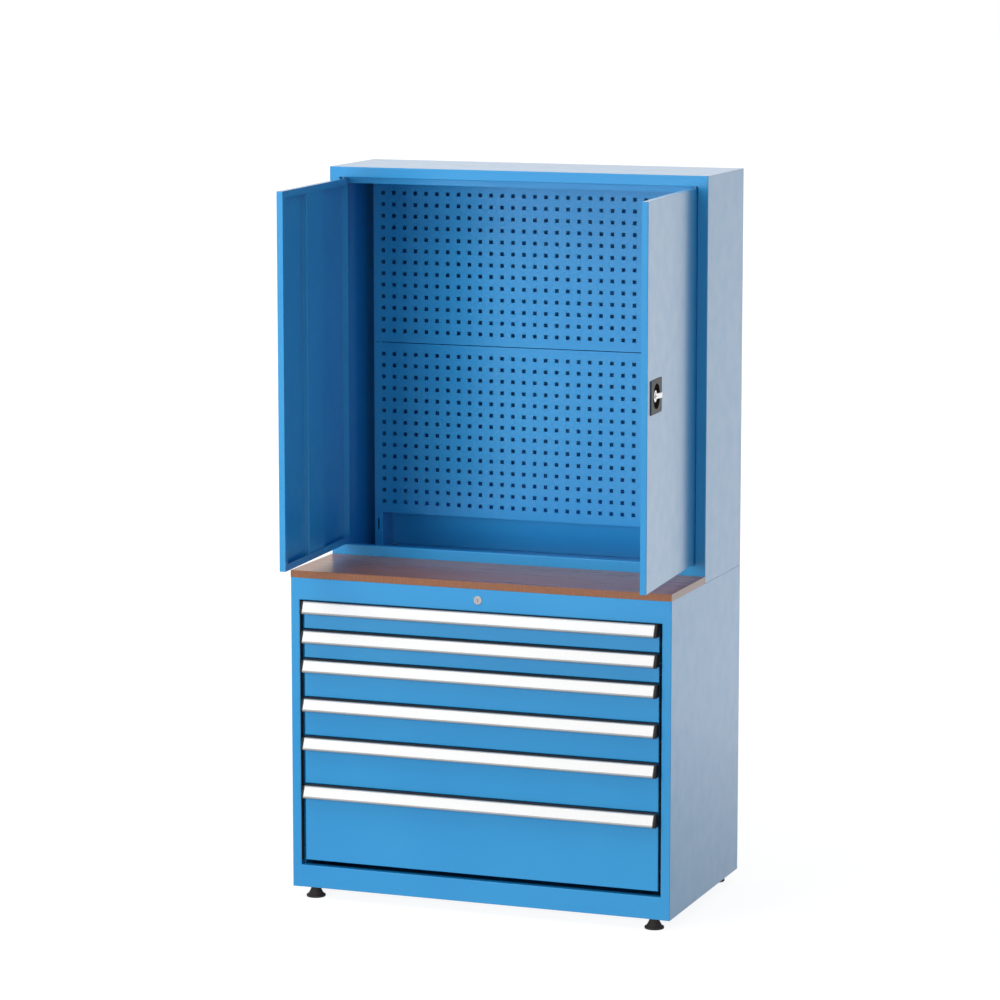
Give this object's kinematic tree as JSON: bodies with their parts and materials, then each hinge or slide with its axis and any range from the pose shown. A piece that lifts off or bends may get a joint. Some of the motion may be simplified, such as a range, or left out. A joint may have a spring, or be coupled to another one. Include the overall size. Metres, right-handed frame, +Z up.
{
  "type": "tool cabinet",
  "caption": "Freestanding workshop cabinet: drawer base with plywood worktop, and a shallower two-door hutch with perforated tool panels.",
  "frame": {"origin": "on the floor, under the middle of the base", "axes": "+X to the cabinet's right as seen from in front, +Y to the back, +Z up"},
  "size_m": [1.01, 0.7623, 1.848],
  "materials": {
    "blue_paint": "semi-gloss powder coat, light blue",
    "handle_aluminium": "satin anodised",
    "black_plastic": "matt moulded",
    "dish_plastic": "fine-grained moulded",
    "plywood": "film-faced plywood with clear-sealed edges",
    "zinc_steel": "bright zinc plate",
    "chrome": "polished",
    "foot_rubber": "matt moulded"
  },
  "bodies": {
    "cabinet": {"lower_left_side": "blue_paint", "lower_right_side": "blue_paint", "lower_back": "blue_paint", "lower_base": "blue_paint", "lower_deck": "blue_paint", "runner_posts": "blue_paint", "cabinet_runners": "zinc_steel", "worktop": "plywood", "lock_barrel": "chrome", "upper_left_side": "blue_paint", "upper_right_side": "blue_paint", "upper_top": "blue_paint", "upper_floor": "blue_paint", "upper_back": "blue_paint", "peg_panel_upper": "blue_paint", "peg_panel_lower": "blue_paint", "panel_uprights": "blue_paint", "fixings": "zinc_steel"},
    "foot_front_left": {"foot_front_left": "foot_rubber"},
    "foot_front_right": {"foot_front_right": "foot_rubber"},
    "foot_rear_left": {"foot_rear_left": "foot_rubber"},
    "foot_rear_right": {"foot_rear_right": "foot_rubber"},
    "drawer_1": {"drawer_1_tray": "blue_paint", "drawer_1_front": "blue_paint", "drawer_1_handle": "handle_aluminium", "drawer_1_end_caps": "black_plastic"},
    "slide_1": {"slide_1_middle": "zinc_steel"},
    "drawer_2": {"drawer_2_tray": "blue_paint", "drawer_2_front": "blue_paint", "drawer_2_handle": "handle_aluminium", "drawer_2_end_caps": "black_plastic"},
    "slide_2": {"slide_2_middle": "zinc_steel"},
    "drawer_3": {"drawer_3_tray": "blue_paint", "drawer_3_front": "blue_paint", "drawer_3_handle": "handle_aluminium", "drawer_3_end_caps": "black_plastic"},
    "slide_3": {"slide_3_middle": "zinc_steel"},
    "drawer_4": {"drawer_4_tray": "blue_paint", "drawer_4_front": "blue_paint", "drawer_4_handle": "handle_aluminium", "drawer_4_end_caps": "black_plastic"},
    "slide_4": {"slide_4_middle": "zinc_steel"},
    "drawer_5": {"drawer_5_tray": "blue_paint", "drawer_5_front": "blue_paint", "drawer_5_handle": "handle_aluminium", "drawer_5_end_caps": "black_plastic"},
    "slide_5": {"slide_5_middle": "zinc_steel"},
    "drawer_6": {"drawer_6_tray": "blue_paint", "drawer_6_front": "blue_paint", "drawer_6_handle": "handle_aluminium", "drawer_6_end_caps": "black_plastic"},
    "slide_6": {"slide_6_middle": "zinc_steel"},
    "left_door": {"left_door": "blue_paint"},
    "right_door": {"right_door": "blue_paint", "handle_dish": "dish_plastic"},
    "turn_handle": {"turn_handle": "chrome"},
    "latch_rod_upper": {"latch_rod_upper": "zinc_steel"},
    "latch_rod_lower": {"latch_rod_lower": "zinc_steel"},
    "lock_plug": {"lock_plug": "chrome"},
    "lock_bar": {"lock_bar": "zinc_steel"}
  },
  "joints": [
    {"name": "drawer_1_slide", "type": "slide", "parent": "cabinet", "child": "drawer_1", "axis": [0, -1, 0], "range_m": [0, 0.5]},
    {"name": "slide_1_run", "type": "slide", "parent": "cabinet", "child": "slide_1", "axis": [0, -1, 0], "range_m": [0, 0.25]},
    {"name": "drawer_2_slide", "type": "slide", "parent": "cabinet", "child": "drawer_2", "axis": [0, -1, 0], "range_m": [0, 0.5]},
    {"name": "slide_2_run", "type": "slide", "parent": "cabinet", "child": "slide_2", "axis": [0, -1, 0], "range_m": [0, 0.25]},
    {"name": "drawer_3_slide", "type": "slide", "parent": "cabinet", "child": "drawer_3", "axis": [0, -1, 0], "range_m": [0, 0.5]},
    {"name": "slide_3_run", "type": "slide", "parent": "cabinet", "child": "slide_3", "axis": [0, -1, 0], "range_m": [0, 0.25]},
    {"name": "drawer_4_slide", "type": "slide", "parent": "cabinet", "child": "drawer_4", "axis": [0, -1, 0], "range_m": [0, 0.5]},
    {"name": "slide_4_run", "type": "slide", "parent": "cabinet", "child": "slide_4", "axis": [0, -1, 0], "range_m": [0, 0.25]},
    {"name": "drawer_5_slide", "type": "slide", "parent": "cabinet", "child": "drawer_5", "axis": [0, -1, 0], "range_m": [0, 0.5]},
    {"name": "slide_5_run", "type": "slide", "parent": "cabinet", "child": "slide_5", "axis": [0, -1, 0], "range_m": [0, 0.25]},
    {"name": "drawer_6_slide", "type": "slide", "parent": "cabinet", "child": "drawer_6", "axis": [0, -1, 0], "range_m": [0, 0.5]},
    {"name": "slide_6_run", "type": "slide", "parent": "cabinet", "child": "slide_6", "axis": [0, -1, 0], "range_m": [0, 0.25]},
    {"name": "left_door_hinge", "type": "hinge", "parent": "cabinet", "child": "left_door", "pos_m": [-0.47, -0.009, 1.348], "axis": [0, 0, -1], "range_deg": [-87, 18]},
    {"name": "right_door_hinge", "type": "hinge", "parent": "cabinet", "child": "right_door", "pos_m": [0.47, -0.009, 1.348], "axis": [0, 0, 1], "range_deg": [-93.3, 11.7]},
    {"name": "handle_turn", "type": "hinge", "parent": "right_door", "child": "turn_handle", "pos_m": [0.49856, -0.4, 1.348], "axis": [-0.9983, -0.0576, 0], "range_deg": [0, 90]},
    {"name": "latch_up", "type": "slide", "parent": "right_door", "child": "latch_rod_upper", "axis": [0, 0, 1], "range_m": [0, 0.015]},
    {"name": "latch_down", "type": "slide", "parent": "right_door", "child": "latch_rod_lower", "axis": [0, 0, -1], "range_m": [0, 0.015]},
    {"name": "lock_turn", "type": "hinge", "parent": "cabinet", "child": "lock_plug", "pos_m": [0, -0.285, 0.802], "axis": [0, -1, 0], "range_deg": [0, 90]},
    {"name": "lock_bar_lift", "type": "slide", "parent": "cabinet", "child": "lock_bar", "axis": [0, 0, 1], "range_m": [0, 0.008]},
    {"name": "foot_front_left_turn", "type": "hinge", "parent": "cabinet", "child": "foot_front_left", "pos_m": [-0.455, -0.253, 0.03], "axis": [0, 0, 1], "continuous": true},
    {"name": "foot_front_right_turn", "type": "hinge", "parent": "cabinet", "child": "foot_front_right", "pos_m": [0.455, -0.253, 0.03], "axis": [0, 0, 1], "continuous": true},
    {"name": "foot_rear_left_turn", "type": "hinge", "parent": "cabinet", "child": "foot_rear_left", "pos_m": [-0.455, 0.253, 0.03], "axis": [0, 0, 1], "continuous": true},
    {"name": "foot_rear_right_turn", "type": "hinge", "parent": "cabinet", "child": "foot_rear_right", "pos_m": [0.455, 0.253, 0.03], "axis": [0, 0, 1], "continuous": true}
  ],
  "couplings": [
    {"joint": "slide_1_run", "follows": "drawer_1_slide", "ratio": 0.5},
    {"joint": "slide_2_run", "follows": "drawer_2_slide", "ratio": 0.5},
    {"joint": "slide_3_run", "follows": "drawer_3_slide", "ratio": 0.5},
    {"joint": "slide_4_run", "follows": "drawer_4_slide", "ratio": 0.5},
    {"joint": "slide_5_run", "follows": "drawer_5_slide", "ratio": 0.5},
    {"joint": "slide_6_run", "follows": "drawer_6_slide", "ratio": 0.5},
    {"joint": "latch_up", "follows": "handle_turn", "m_per_rad": 0.0095492},
    {"joint": "latch_down", "follows": "handle_turn", "m_per_rad": 0.0095492},
    {"joint": "lock_turn", "follows": "lock_bar_lift", "rad_per_m": 196.35}
  ]
}
